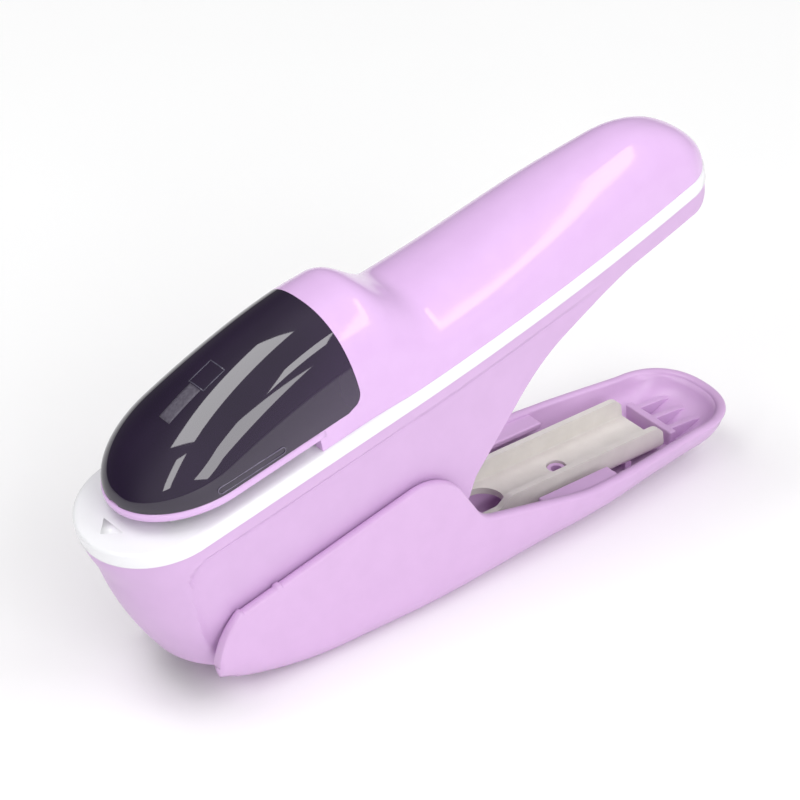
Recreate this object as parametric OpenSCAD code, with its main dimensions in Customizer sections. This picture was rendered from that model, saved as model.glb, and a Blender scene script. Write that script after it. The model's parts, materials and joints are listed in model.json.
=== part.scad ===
// Hand-squeezed staple-free stapler, in mm, +Z up.
// The squeeze lever stands on z = 0, and +X points from the paper nose to the tail.
// The origin is the middle of the part's bounding box, on its bottom face.

/* [Sub-part shown] */
// Sub-part that is drawn

/* [Body] */
// Angle between the body and the lever at rest, in degrees
rest_tilt = 12; // [8:0.5:16]
// Half width of the paper table
table_half = 10.9; // [9:0.1:14]
// Radius of the table's nose in plan
nose_r = 10.9; // [9:0.1:14]
// Radius of the table's tail in plan
tail_r = 7; // [5:0.1:9]
// Place of the tail arc's centre along the body
tail_s = 100.7; // [95:0.1:105]
// Thickness of the table plate
table_t = 1.6; // [1.2:0.1:2.4]
// Depth of the table's edge
band_h = 2.4; // [1.8:0.1:3.5]

/* [Upper shell] */
// Height of the hump over the table
hump_h = 16.1; // [13:0.1:19]
// Height of the waist behind the hump
waist_h = 9; // [7:0.1:12]
// Height that the grip gains toward the tail
grip_gain = 1.5; // [0:0.1:3]
// Wall of the upper shell
shell_wall = 1.8; // [1.2:0.1:2.4]
// Height of the paper slot
slot_h = 1.8; // [1.2:0.1:2.6]
// Height of the rim round the window, over the table
rim_top = 3.2; // [2.6:0.1:4.5]

/* [Window] */
// Half width of the sight window
window_half = 10.3; // [8:0.1:12]
// Height of the window over its rim at the back
window_h = 12.8; // [10:0.1:15]
// Wall of the window
window_wall = 1.6; // [1.2:0.1:2.2]

/* [Lower housing] */
// Wall of the lower housing
housing_wall = 2.3; // [2:0.1:2.6]
// Depth of the recess that the lever's flaps slide in
recess_d = 0.7; // [0.5:0.1:1]

/* [Lever] */
// Outer half width of the lever
lever_half = 11.8; // [10:0.1:14]
// Wall of the lever
lever_wall = 1.5; // [1.2:0.1:1.6]
// Radius of the lever's underside edge at its front
lever_edge_r = 4.6; // [4:0.1:4.8]
// Growth of that radius toward the middle of the lever
lever_edge_gain = 2.9; // [1.5:0.1:3]
// Outer half width of the steel channel
channel_half = 5.1; // [4.8:0.1:5.2]
// Steel thickness of the channel
channel_t = 1; // [0.8:0.1:1.2]
// Diameter of the round hole in the channel
channel_hole_d = 3; // [2:0.1:4]

/* [Mechanism] */
// Diameter of the lever's pivot pin
pivot_d = 3; // [2:0.1:4]
// Diameter of the rocker's pivot pin
rocker_pin_d = 3; // [2:0.1:4]
// Diameter of the carriage pins
carriage_pin_d = 2.5; // [2:0.1:3]
// Diameter of the drive pin
drive_pin_d = 2; // [1.5:0.1:2.4]
// Outer diameter of the sleeve on the drive pin
sleeve_d = 4; // [3:0.1:4.4]
// Radial clearance of running fits
run_fit = 0.06; // [0.02:0.01:0.1]
// Wire diameter of the return spring
wire_d = 0.7; // [0.5:0.1:1]
// Number of working coils in the return spring
coils = 7; // [5:1:9]

/* [Hidden] */
$fn = 48;
shell_pink = [0.95, 0.79, 0.98];
housing_pink = [0.89, 0.74, 0.92];
lever_pink = [0.84, 0.58, 0.82];
steel = [0.72, 0.72, 0.74];
cream = [0.84, 0.82, 0.80];
white = [0.94, 0.94, 0.96];
// body frame: s runs along the table's top face from its nose, h is square to it
nose_x = -55.3;
nose_z = 27.7;
// lever frame: zero is the channel's web on the plane of symmetry
lever_x = 19.5;
lever_z = 5.4;
// pivot of the lever, in the lever frame and in the body frame
pivot_lx = -52;
pivot_lz = 2;
o1x = pivot_lx + lever_x - nose_x;
o1z = pivot_lz + lever_z - nose_z;
pivot_s = o1x * cos(rest_tilt) + o1z * sin(rest_tilt);
pivot_h = -o1x * sin(rest_tilt) + o1z * cos(rest_tilt);
rocker_s = 52.1;
rocker_h = -15.5;
// pad under the rocker that the drive sleeve pushes: front end, length, tilt and thickness
pad_at = [31.5, -25.5];
pad_l = 6.6;
pad_tilt = 24.7;
pad_t = 1;
pad_end = pad_at + pad_l * [cos(pad_tilt), sin(pad_tilt)];
pad_up = pad_t * [-sin(pad_tilt), cos(pad_tilt)];
// lower and upper carriage pins, and the carriage's travel
fork_s = 20;
fork_h = -19.5;
guide_h = -14.2;
stroke = 8;
// swing axis of the tongue pusher
pusher_s = 16.6;
pusher_h = -14;
pusher_pin_r = 0.75;
// drive pin, in the lever frame
drive_x = -35.8;
drive_z = 3.4;
// return spring, in the lever frame: place, free height and mean radius of the coil
spring_x = -28;
spring_h = 21.1;
spring_mean = 1.95;
// gap all round between the table's edge and the lower housing
housing_gap = 0.3;
// where the table's sides start to draw in, and how fast, so that they meet the tail arc
taper_s = 45;
taper_end = tail_s + 0.9;
taper = (table_half - root(pow(tail_r, 2) - pow(taper_end - tail_s, 2))) / pow(taper_end - taper_s, 2);
// screws that join the table to the shell and the frame, along the body
frame_screw_s = [36, 54];
die_screw_s = [10.9, 29.2];
// screws between the two housings, as [s, y]; the first two are deep and the last is at the tail
deep_screws = [[62, 5.2], [62, -5.2]];
tail_screw = [93, 0];
shank_r = 1;
screw_hole_r = 1.3;
screw_head_r = 1.85;
head_sink_r = 1.95;
// paper stop pins
stop_s = 31.2;
stop_y = 7.4;
stop_r = 0.9;

module in_body() {
    translate([nose_x, 0, nose_z])
        rotate([0, -rest_tilt, 0])
            children();
}

module in_lever() {
    translate([lever_x, 0, lever_z])
        children();
}

// a profile in the long plane, drawn out across from y0 to y1
module slab(y0, y1) {
    translate([0, y1, 0])
        rotate([90, 0, 0])
            linear_extrude(y1 - y0)
                children();
}

// the same on both sides of the plane of symmetry
module slabs(y0, y1) {
    slab(y0, y1) children();
    slab(-y1, -y0) children();
}

module bar_y(s, h, r, y1) {
    slab(-y1, y1)
        translate([s, h])
            circle(r);
}

module slot2d(a, b, r) {
    l = norm(b - a);
    translate(a)
        circle(r);
    translate(b)
        circle(r);
    translate(a)
        rotate(atan2(b[1] - a[1], b[0] - a[0]))
            translate([0, -r])
                square([l, 2 * r]);
}

function ease(t) = let(u = min(1, max(0, t))) u * u * (3 - 2 * u);
function root(v) = sqrt(max(0, v));

function unit(v) = v / norm(v);

// arc that rounds the corner b of a path from a to c; the third number of b is its radius
function corner(a, b, c) = let(
    tip = [b[0], b[1]],
    u = unit([a[0], a[1]] - tip),
    v = unit([c[0], c[1]] - tip),
    half = acos(u * v) / 2,
    middle = tip + unit(u + v) * b[2] / sin(half),
    p = tip + u * b[2] / tan(half) - middle,
    q = tip + v * b[2] / tan(half) - middle,
    from = atan2(p[1], p[0]),
    turn = (atan2(q[1], q[0]) - from + 540) % 360 - 180,
    steps = max(2, ceil(abs(turn) / 9)))
    [for (k = [0 : steps]) middle + b[2] * [cos(from + turn * k / steps), sin(from + turn * k / steps)]];

// an open path of [x, z, radius] corners, as points; its two ends have no radius
function rounded(path) = concat([[path[0][0], path[0][1]]],
    [for (i = [1 : len(path) - 2]) each corner(path[i - 1], path[i], path[i + 1])],
    [[path[len(path) - 1][0], path[len(path) - 1][1]]]);

// half width of the table's outline, moved in by d
function table_w(s, d) =
    s < nose_r ? root(pow(nose_r - d, 2) - pow(nose_r - s, 2)) :
    s < taper_s ? table_half - d :
    s < taper_end ? table_half - d - taper * pow(s - taper_s, 2) :
    root(pow(tail_r - d, 2) - pow(s - tail_s, 2));
nose_steps = [4, 12, 21, 30, 40, 50, 60, 70, 80];
tail_steps = [14, 24, 34, 44, 54, 64, 73, 80, 86];
mid_steps = [13, 22, 34, 45, 52, 59, 66, 73, 80, 87, 94, 100];
function table_s(d) = concat(
    [for (a = nose_steps) nose_r - (nose_r - d) * cos(a)],
    mid_steps,
    [for (a = tail_steps) tail_s + (tail_r - d) * sin(a)]);
function side(d) = [for (s = table_s(d)) [s, table_w(s, d)]];
function mirrored(p) = [for (i = [len(p) - 1 : -1 : 0]) [p[i][0], -p[i][1]]];
function closed(p) = concat(p, mirrored(p));

module table_plan(d) {
    polygon(closed(side(d)));
}

// skin over rows of points; each row is one half and then its mirror or its inner copy
module skin(rows, plugs = false) {
    n = len(rows);
    l = len(rows[0]);
    m = l / 2;
    b = (n - 1) * l;
    walls = [for (k = [0 : n - 2]) for (j = [0 : l - 1])
        let(p = k * l + j, q = k * l + (j + 1) % l)
        each [[p, q, q + l], [p, q + l, p + l]]];
    start = [for (i = [0 : m - 2]) [i, l - 1 - i, l - 2 - i, i + 1]];
    finish = plugs
        ? [[for (i = [0 : m - 1]) b + i], [for (i = [m : l - 1]) b + i], [b, b + m - 1, b + m, b + l - 1]]
        : [for (i = [0 : m - 2]) [b + i, b + i + 1, b + l - 2 - i, b + l - 1 - i]];
    polyhedron([for (r = rows) for (p = r) p], concat(walls, start, finish));
}

// one arch of a shell, with half width w and height c over the height base
arch_n = 20;
function arch_point(a, w, c, n) = [
    w * sign(cos(a)) * pow(abs(cos(a)), 2 / n),
    c * pow(sin(a), 2 / n)];
function arch(f, base, n) = [for (k = [0 : arch_n])
    let(p = arch_point(180 * k / arch_n, f[1], f[2], n)) [f[0], p[0], base + p[1]]];
function backwards(p) = [for (i = [len(p) - 1 : -1 : 0]) p[i]];
// the outer arch and then the inner one; each is given as [place, half width, height]
function arch_row(outer, inner, base, n) = concat(arch(outer, base, n), backwards(arch(inner, base, n)));

// height of the upper shell over the table
function shell_top(s) = s < 44.5 ? hump_h :
    s < 55 ? hump_h - (hump_h - waist_h) * ease((s - 44.5) / 10.5) :
    waist_h + grip_gain * ease((s - 60) / 26);
function tail_fall(s, s0, len) = s < s0 ? 1 : pow(max(0, 1 - pow((s - s0) / len, 1.9)), 0.625);
function shell_c(s) = shell_top(s) * tail_fall(s, 93.5, 14.2);
shell_steps = [39.6, 42, 44.5, 46.5, 48, 49.5, 51, 52.5, 54, 56, 60, 66, 72, 78, 84, 90, 94, 97, 99.6];
shell_tail = [10, 22, 34, 46, 57, 67, 76, 83, 87];
shell_rows = concat(
    [for (s = shell_steps) arch_row(
        [s, -table_w(s, 0), shell_c(s)],
        [s, -table_w(s, shell_wall), shell_c(s) - shell_wall], 0, 2.3)],
    [for (a = shell_tail) let(s = tail_s + tail_r * sin(a), t = tail_s + (tail_r - shell_wall) * sin(a))
        arch_row([s, -tail_r * cos(a), shell_c(s)],
            [t, -(tail_r - shell_wall) * cos(a), shell_top(t) * tail_fall(t, 92, 14.2) - shell_wall * 0.6],
            0, 2.3)]);

// outline of the window and its rim in plan
function window_w(s, d) = s < 17.8
    ? (window_half - d) * root(1 - pow((17.8 - s) / (12.5 - d), 2))
    : window_half - d;
function window_side(d, s1) = concat(
    [for (a = [85, 75, 64, 53, 42, 31, 20, 10]) [17.8 - (12.5 - d) * sin(a), (window_half - d) * cos(a)]],
    [[17.8, window_half - d], [s1, window_half - d]]);
function window_c(s, d) = (window_h - d) * pow(max(0, 1 - pow((40 - s) / (34.7 - d), 1.6)), 0.615);
window_steps = concat([39.5, 36, 32, 28, 24, 20], [for (a = [0, 12, 24, 36, 47, 57, 66, 74, 80, 85])
    17.8 - 12.5 * sin(a)]);
window_rows = [for (s = window_steps) let(t = s > 17.8 ? s : 17.8 - (17.8 - s) * (12.5 - window_wall) / 12.5)
    arch_row([s, window_w(s, 0), window_c(s, 0)],
        [t, window_w(t, window_wall), window_c(t, window_wall)], rim_top, 2.4)];

module upper_shell() {
    color(shell_pink)
        in_body()
            difference() {
                union() {
                    skin(shell_rows, true);
                    translate([0, 0, slot_h])
                        linear_extrude(rim_top - slot_h)
                            polygon(closed(window_side(0, 41.2)));
                    slabs(8.6, window_half)
                        polygon([[32, 0], [41.2, 0], [41.2, rim_top], [32, rim_top]]);
                    // bosses of the die screws and of the housing screws
                    for (k = [0, 1])
                        translate([die_screw_s[k], 0, slot_h + 0.4])
                            cylinder(h = 3.2 + k, r = 2.1);
                    for (p = deep_screws)
                        translate(p)
                            cylinder(h = 5.7, r = 2.4);
                    translate(tail_screw)
                        cylinder(h = 9.6, r = 2.8);
                }
                // pocket of the die plate and the opening over the blades
                translate([8.9, -7.5, slot_h - 1])
                    cube([22.4, 15, 1.8]);
                translate([14, -4.2, 0])
                    cube([12.6, 8.4, 6]);
                // room behind the rim for the table's front screw boss
                translate([32.4, -8.4, -1])
                    cube([10, 16.8, rim_top + 1.01]);
                // threads
                for (s = die_screw_s)
                    translate([s, 0, 0])
                        cylinder(h = 5, r = 0.72);
                for (p = concat(deep_screws, [tail_screw]))
                    translate([p[0], p[1], -1])
                        cylinder(h = 6.6, r = shank_r + 0.02);
            }
}

module sight_window() {
    color([0.2, 0.15, 0.26, 0.9])
        in_body()
            skin(window_rows, true);
}

// openings that the punch and the slit blade pass through, from h0 to h1
module blade_openings(h0, h1) {
    translate([14.1, -3.1, h0])
        cube([8.1, 6.2, h1 - h0]);
    translate([23.7, -3.4, h0])
        cube([1.6, 6.8, h1 - h0]);
}

module paper_table() {
    color(white)
        in_body()
            difference() {
                union() {
                    translate([0, 0, -table_t])
                        linear_extrude(table_t)
                            table_plan(0);
                    translate([0, 0, -band_h])
                        linear_extrude(band_h)
                            difference() {
                                table_plan(0);
                                table_plan(1.7);
                            }
                    for (s = frame_screw_s)
                        translate([s, 0, 0])
                            cylinder(h = 3.2, r = 2.4);
                }
                blade_openings(-3, 1);
                // a shallow pointing mark on the nose
                translate([0, 0, -0.3])
                    linear_extrude(1)
                        polygon([[2.2, 0], [4.4, 2.2], [4.4, -2.2]]);
                // screw and stop holes
                for (s = frame_screw_s)
                    translate([s, 0, -3])
                        cylinder(h = 5.6, r = 0.92);
                for (p = concat(deep_screws, [tail_screw]))
                    translate([p[0], p[1], -4])
                        cylinder(h = 6, r = screw_hole_r);
                for (y = [-stop_y, stop_y])
                    translate([stop_s, y, -3])
                        cylinder(h = 4, r = stop_r);
            }
}

module paper_stop_pins() {
    color(white)
        in_body()
            for (y = [-stop_y, stop_y])
                translate([stop_s, y, -table_t])
                    cylinder(h = table_t + slot_h - 0.02, r = stop_r);
}

// front of the lower housing, moved back by f at the height h
function front(h) = 0.3 + 2.1 * ease((-band_h - h) / 6) * 0.5 + 0.0108 * pow(-band_h - h, 2);
housing_levels = [-27.4, -24, -20, -16, -11, -6, -2.4];
function housing_loop(h, d) = let(f = front(h) - 0.3)
    closed([for (s = table_s(housing_gap + d))
        [s < 34 ? f + s * (34 - f) / 34 : s, table_w(s, housing_gap + d)]]);
housing_rows = [for (h = housing_levels) [for (p = housing_loop(h, 0)) [p[0], p[1], h]]];
housing_inner = [for (h = [-28.5, -24, -20, -16, -11, -6, -2.3])
    [for (p = housing_loop(h, housing_wall)) [p[0], p[1], h]]];

// underside of the housing behind the lever's travel: it rises in two long bends and runs level
// under the tail; lift moves it up for the inner face of the floor
tail_depth = 5.2;
function sweep(lift) = rounded([[53, lift - 24], [55, lift - 20.9, 4], [69, lift - 10.2, 30],
    [85, lift - tail_depth, 30], [103.5, lift - tail_depth, 7], [108.5, lift - 1.6]]);
floor_t = 1.7;
floor_s = 58;

module lower_housing() {
    color(housing_pink)
        in_body()
            difference() {
                union() {
                    difference() {
                        skin(housing_rows);
                        skin(housing_inner);
                    }
                    intersection() {
                        slab(-10, 10)
                            intersection() {
                                difference() {
                                    polygon(concat(sweep(0), [[108.5, 0], [53, 0]]));
                                    polygon(concat(sweep(floor_t), [[108.5, 1], [53, 1]]));
                                }
                                translate([floor_s, -30])
                                    square([60, 30 - band_h]);
                            }
                        translate([0, 0, -30])
                            linear_extrude(40)
                                table_plan(0.9);
                    }
                    for (p = deep_screws)
                        translate([p[0], p[1], -14.6])
                            cylinder(h = 13, r = 2.7);
                    translate([tail_screw[0], 0, -5])
                        cylinder(h = 3.4, r = 2.8);
                }
                // everything under the bottom edge and the rear sweep
                slab(-20, 20)
                    polygon(concat([[-5, -22], [22, -26.1]], sweep(0),
                        [[120, -band_h], [120, -60], [-5, -60]]));
                // side recesses for the lever's flaps
                for (m = [0, 1])
                    mirror([0, m, 0])
                        slab(table_half - housing_gap - recess_d, 20)
                            union() {
                                translate([11, -7.5])
                                    circle(3);
                                polygon([[8, -7.5], [11, -4.5], [81, -4.5], [81, -60], [6, -60], [6, -20]]);
                            }
                // lever pivot
                bar_y(pivot_s, pivot_h, pivot_d / 2, 20);
                // screw holes with sunk heads
                for (p = deep_screws) {
                    translate([p[0], p[1], -30])
                        cylinder(h = 40, r = screw_hole_r);
                    translate([p[0], p[1], -30])
                        cylinder(h = 18.4, r = head_sink_r);
                }
                translate([tail_screw[0], 0, -10])
                    cylinder(h = 20, r = screw_hole_r);
                translate([tail_screw[0], 0, -10])
                    cylinder(h = 5.9, r = head_sink_r);
            }
}

// outline of the lever in plan, as half widths
function lever_w(x) = x < 8.8 ? lever_half :
    x < 26.2 ? lever_half - 2.3 * (x - 8.8) / 17.4 :
    (lever_half - 2.3) * pow(max(0, 1 - pow((x - 26.2) / 9.6, 2.3)), 1 / 2.3);
// the underside is flat under the spring and rises to both ends
function lever_bottom(x) = -5.4 + 0.009 * pow(max(0, -40 - x), 2) + 0.0016 * pow(max(0, x + 14), 2);
// radius of the edge between underside and sides
function edge_r(x) = lever_edge_r + lever_edge_gain * ease((x + 28) / 28) - 2 * ease((x - 14) / 18);
lever_xs = concat([-62.4, -60.5, -58.5, -56, -53, -50, -46, -40, -28, -21, -14, -7, 0, 5, 8.8, 14, 20, 26.2],
    [for (a = [22, 36, 48, 58, 67, 75, 82, 87]) 26.2 + 9.6 * pow(sin(a), 2 / 2.3)]);
// point of the outline, moved in by d
function lever_point(i, d) = let(
    a = lever_xs[max(0, i - 1)],
    b = lever_xs[min(len(lever_xs) - 1, i + 1)],
    u = unit([b - a, lever_w(b) - lever_w(a)]))
    [lever_xs[i] + u[1] * d, max(0.4, lever_w(lever_xs[i]) - u[0] * d)];
function both_halves(p) = concat(p, [for (i = [len(p) - 1 : -1 : 0]) [p[i][0], -p[i][1], p[i][2]]]);
// row at the angle a round the lower edge, on a face that lies inside the outer one by the wall t
function lever_row(a, t) = both_halves([for (i = [0 : len(lever_xs) - 1])
    let(r = edge_r(lever_xs[i]), q = lever_point(i, r - (r - t) * sin(a)))
    [q[0], q[1], lever_bottom(q[0]) + r - (r - t) * cos(a)]]);
function lever_top_row(t, z) = both_halves([for (i = [0 : len(lever_xs) - 1])
    let(q = lever_point(i, t)) [q[0], q[1], z]]);
function lever_body(t, z) = concat([for (a = [0 : 18 : 90]) lever_row(a, t)], [lever_top_row(t, z)]);

// edge of the lever's flaps and rim: a small arc up the front, an arc round the pivot, a straight rise to the
// crest that covers the mechanism, a steep fall, and a slow run down to the rim
rim_z = 2.9;
flap_r = 10.45;
flap_edge = concat(
    [for (a = [250 : -14 : 194]) [-57.8 + 4.6 * cos(a), rim_z + 4.6 * sin(a)]],
    [for (a = [175 : -9.5 : 128]) [pivot_lx + flap_r * cos(a), pivot_lz + flap_r * sin(a)]],
    rounded([[-58, 10], [-23.5, 18.2, 8], [-16.5, 7.2, 5], [3, 3.1, 30], [40, rim_z]]));

module squeeze_lever() {
    color(lever_pink)
        in_lever()
            difference() {
                union() {
                    difference() {
                        skin(lever_body(0, 19));
                        skin(lever_body(lever_wall, 22));
                        translate([-70, -lever_half + lever_wall, -10])
                            cube([11.5, 2 * (lever_half - lever_wall), 40]);
                        slab(-20, 20)
                            polygon(concat([[-80, -8], [-59.4, -8]], flap_edge, [[40, 40], [-80, 40]]));
                    }
                    // everything that stands on the floor ends inside its thickness
                    intersection() {
                        skin(lever_body(lever_wall / 2, 20));
                        union() {
                            // cross wall and three fins at the tail, and a ledge on each side
                            translate([24.3, -5, -5])
                                cube([1.2, 10, 6]);
                            for (y = [-3.45, 0, 3.45])
                                slab(y - 0.5, y + 0.5)
                                    polygon([[25, -4], [34, -4], [33.2, -0.2], [30, 0.6], [25, 0.9]]);
                            slabs(7.2, 11)
                                polygon([[-3, 1.5], [10, 1.5], [10, 2.5], [-3, 2.5]]);
                            // boss with a spigot in the channel's hole, and rests under the web
                            translate([6.7, 0, -6])
                                cylinder(h = 5, r = 3);
                            translate([6.7, 0, -6])
                                cylinder(h = 5.65, r = channel_hole_d / 2 - 0.08);
                            for (x = [-16, -1, 16])
                                translate([x, -4.6, -6])
                                    cube([1.2, 9.2, 5]);
                            // peg in the foot of the return spring
                            translate([spring_x, 0, -6])
                                cylinder(h = 5.2, r = 1.35);
                        }
                    }
                }
                translate([6.7, 0, -3.2])
                    cylinder(h = 5, r = channel_hole_d / 2 - 0.7);
                bar_y(pivot_lx, pivot_lz, pivot_d / 2 + run_fit, 11.1);
            }
}

// outline of the channel's sides: low beside the spring, and raised to the drive pin and the pivot
cheek = rounded([[-52, -1.4], [-24, -1, 30], [22.9, -1, 0.1], [22.9, 3, 2], [-6, 3, 1.5], [-8, 1.5, 1.5],
    [-22, 1.5, 6], [-33.8, 6.4, 3], [-46, 4.7, 5], [-52, 5.4]]);

module lever_channel() {
    color(cream)
        in_lever()
            difference() {
                union() {
                    translate([-24, -channel_half, -channel_t])
                        cube([46.9, 2 * channel_half, channel_t]);
                    slabs(channel_half - channel_t, channel_half)
                        union() {
                            polygon(cheek);
                            translate([drive_x, drive_z])
                                circle(3.1);
                            translate([pivot_lx, pivot_lz])
                                circle(3.4);
                        }
                }
                // cut-out with a round end, open to the front
                translate([-7, 0, -3])
                    cylinder(h = 6, r = 3);
                translate([-40, -3, -3])
                    cube([33, 6, 6]);
                translate([6.7, 0, -3])
                    cylinder(h = 6, r = channel_hole_d / 2);
                bar_y(pivot_lx, pivot_lz, pivot_d / 2 + run_fit, 9);
                bar_y(drive_x, drive_z, drive_pin_d / 2, 9);
            }
}

module lever_pivot_pin() {
    color(steel)
        in_lever()
            bar_y(pivot_lx, pivot_lz, pivot_d / 2, 10.9);
}

module mechanism_frame() {
    color(steel)
        in_body()
            difference() {
                union() {
                    slabs(5.6, 6.6)
                        union() {
                            polygon([[12.4, -1.7], [58, -1.7], [58, -6], [56.3, -15.5], [rocker_s, -19.7],
                                [44, -17.6], [32, -18.6], [24.5, -24], [pivot_s, pivot_h - 3.6],
                                [14.5, -24.6], [12.4, -14]]);
                            translate([rocker_s, rocker_h])
                                circle(4.2);
                            translate([pivot_s, pivot_h])
                                circle(3.6);
                        }
                    translate([28, -6.6, -2.7])
                        cube([30, 13.2, 1]);
                    translate([11, -6.6, -2.7])
                        cube([2, 13.2, 1]);
                    slab(-5.7, 5.7)
                        polygon([[38.5, -13.3], [47.4, -13.3], [47.4, -12.3], [38.5, -12.3]]);
                }
                bar_y(pivot_s, pivot_h, pivot_d / 2 + 0.05, 9);
                bar_y(rocker_s, rocker_h, rocker_pin_d / 2, 9);
                slab(-9, 9)
                    slot2d([fork_s, fork_h - 0.1], [fork_s, guide_h + stroke + 0.3],
                        carriage_pin_d / 2 + run_fit);
                for (s = frame_screw_s)
                    translate([s, 0, -4])
                        cylinder(h = 4, r = 1.1);
            }
}

module lift_rocker() {
    color([0.62, 0.63, 0.66])
        in_body()
            difference() {
                union() {
                    slabs(2.7, 3.5)
                        union() {
                            polygon([[17, fork_h], [18, -17.3], [fork_s, -16.4], [26, -16.6], [34, -17.4],
                                [44, -17.8], [48, -15.5], [rocker_s, rocker_h + 4], [rocker_s, rocker_h - 4],
                                [46, -20.6], pad_end, pad_at, [28.5, -23.2], [fork_s, -22.4], [18, -21.6]]);
                            translate([rocker_s, rocker_h])
                                circle(4);
                            translate([fork_s, fork_h])
                                circle(3);
                        }
                    slab(-3.4, 3.4)
                        polygon([pad_at, pad_end, pad_end + pad_up, pad_at + pad_up]);
                    slab(-3.4, 3.4)
                        polygon([[47.6, -18.6], [48.6, -18.6], [48.6, -14.9], [47.6, -15.9]]);
                }
                bar_y(rocker_s, rocker_h, rocker_pin_d / 2 + run_fit, 9);
                slab(-9, 9)
                    slot2d([fork_s - 0.3, fork_h], [fork_s + 0.5, fork_h], carriage_pin_d / 2 + 0.16);
            }
}

module rocker_pivot_pin() {
    color(steel)
        in_body()
            bar_y(rocker_s, rocker_h, rocker_pin_d / 2, 7.6);
}

module retaining_clips() {
    color([0.45, 0.45, 0.47])
        in_body()
            slabs(6.65, 7.25)
                translate([rocker_s, rocker_h])
                    difference() {
                        circle(2.9);
                        circle(rocker_pin_d / 2);
                        translate([0, -0.9])
                            square([4, 1.8]);
                    }
}

module drive_pin() {
    color(steel)
        in_lever()
            bar_y(drive_x, drive_z, drive_pin_d / 2, 5.3);
}

module drive_sleeve() {
    color([0.8, 0.78, 0.72])
        in_lever()
            slab(-3.95, 3.95)
                translate([drive_x, drive_z])
                    difference() {
                        circle(sleeve_d / 2);
                        circle(drive_pin_d / 2);
                    }
}

module blade_carriage() {
    color([0.3, 0.31, 0.33])
        in_body()
            difference() {
                union() {
                    slab(-2.4, 2.4)
                        polygon([[15.5, -22.3], [25, -22.3], [26, -21.3], [26, -15], [14.5, -15],
                            [14.5, -21.3]]);
                    slab(-4.4, 4.4)
                        polygon([[13.5, -15.8], [27, -15.8], [27, -10.2], [13.5, -10.2]]);
                }
                // room for the pusher's swing
                translate([15.3, -1.5, -16])
                    cube([6.2, 3, 7]);
                punch_shape(-12.7, 4);
                slit_shape(-13, 4);
                bar_y(fork_s, fork_h, carriage_pin_d / 2, 9);
                bar_y(fork_s, guide_h, carriage_pin_d / 2, 9);
                bar_y(pusher_s, pusher_h, pusher_pin_r, 9);
                translate([22.2, 0, -11.6])
                    rotate([0, 90, 0])
                        cylinder(h = 6, r = 0.8);
            }
}

module carriage_pins() {
    color(steel)
        in_body() {
            bar_y(fork_s, fork_h, carriage_pin_d / 2, 7);
            bar_y(fork_s, guide_h, carriage_pin_d / 2, 7);
        }
}

module punch_shape(h0, h1) {
    translate([14.6, -2.6, h0])
        difference() {
            cube([7, 5.2, h1 - h0]);
            translate([0.6, 0.6, -1])
                cube([9, 4, h1 - h0 + 2]);
        }
}

module slit_shape(h0, h1) {
    translate([24.1, -3, h0])
        cube([0.8, 6, h1 - h0]);
}

module punch_blade() {
    color(steel)
        in_body()
            difference() {
                punch_shape(-12.7, -0.6);
                // cutting edges slope back from the front corners
                slab(-5, 5)
                    polygon([[14.6, -0.6], [21.7, -2.6], [21.7, 1], [14.6, 1]]);
            }
}

module slit_blade() {
    color(steel)
        in_body()
            difference() {
                slit_shape(-13, -0.6);
                for (m = [0, 1])
                    mirror([0, m, 0])
                        translate([24, 0, 0])
                            rotate([90, 0, 90])
                                linear_extrude(2)
                                    polygon([[0, -0.6], [3.1, -3], [3.1, 1], [0, 1]]);
                // eye for the tongue
                translate([23, -1.7, -6])
                    cube([3, 3.4, 2.2]);
                translate([23, 0, -11.6])
                    rotate([0, 90, 0])
                        cylinder(h = 3, r = 0.8);
            }
}

module blade_rivet() {
    color(steel)
        in_body()
            translate([22.2, 0, -11.6])
                rotate([0, 90, 0]) {
                    cylinder(h = 4.8, r = 0.8);
                    translate([0, 0, 4.8])
                        cylinder(h = 0.7, r1 = 1.5, r2 = 0.9);
                }
}

module tongue_pusher() {
    color([0.75, 0.73, 0.7])
        in_body()
            slab(-1.3, 1.3)
                difference() {
                    union() {
                        translate([pusher_s, pusher_h])
                            circle(1.15);
                        polygon([[15.5, pusher_h], [17.7, pusher_h], [17.7, -4], [17.2, -2.8], [16.2, -2.6],
                            [15.5, -3.2]]);
                    }
                    translate([pusher_s, pusher_h])
                        circle(pusher_pin_r + run_fit);
                }
}

module pusher_pin() {
    color(steel)
        in_body()
            bar_y(pusher_s, pusher_h, pusher_pin_r, 4.3);
}

module die_plate() {
    color(steel)
        in_body()
            difference() {
                translate([9, -7.4, slot_h])
                    cube([22.2, 14.8, 0.78]);
                blade_openings(0, 5);
                for (s = die_screw_s)
                    translate([s, 0, slot_h - 0.01])
                        cylinder(h = 0.85, r1 = 1.55, r2 = 0.75);
            }
}

module die_screws() {
    color(steel)
        in_body()
            for (s = die_screw_s)
                translate([s, 0, slot_h]) {
                    cylinder(h = 0.78, r1 = 1.5, r2 = 0.72);
                    translate([0, 0, 0.7])
                        cylinder(h = 2.3, r = 0.7);
                }
}

// height of the spring's wire after t turns: the end turns lie flat
function spring_z(t) = let(n = coils + 2)
    t < 1 ? wire_d / 2 + wire_d * 0.5 * t * t :
    t > n - 1 ? spring_h - wire_d / 2 - wire_d * 0.5 * pow(n - t, 2) :
    wire_d + (t - 1) * (spring_h - 2 * wire_d) / (n - 2);
spring_rows = [for (k = [0 : 16 * (coils + 2)]) let(t = k / 16, a = 360 * t, z = spring_z(t))
    [for (j = [0 : 5]) let(b = 60 * j + 30, r = spring_mean + wire_d / 2 * cos(b))
        [r * cos(a), r * sin(a), z + wire_d / 2 * sin(b)]]];

module return_spring() {
    color(steel)
        in_lever()
            translate([spring_x, 0, -3.88])
                skin(spring_rows);
}

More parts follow.
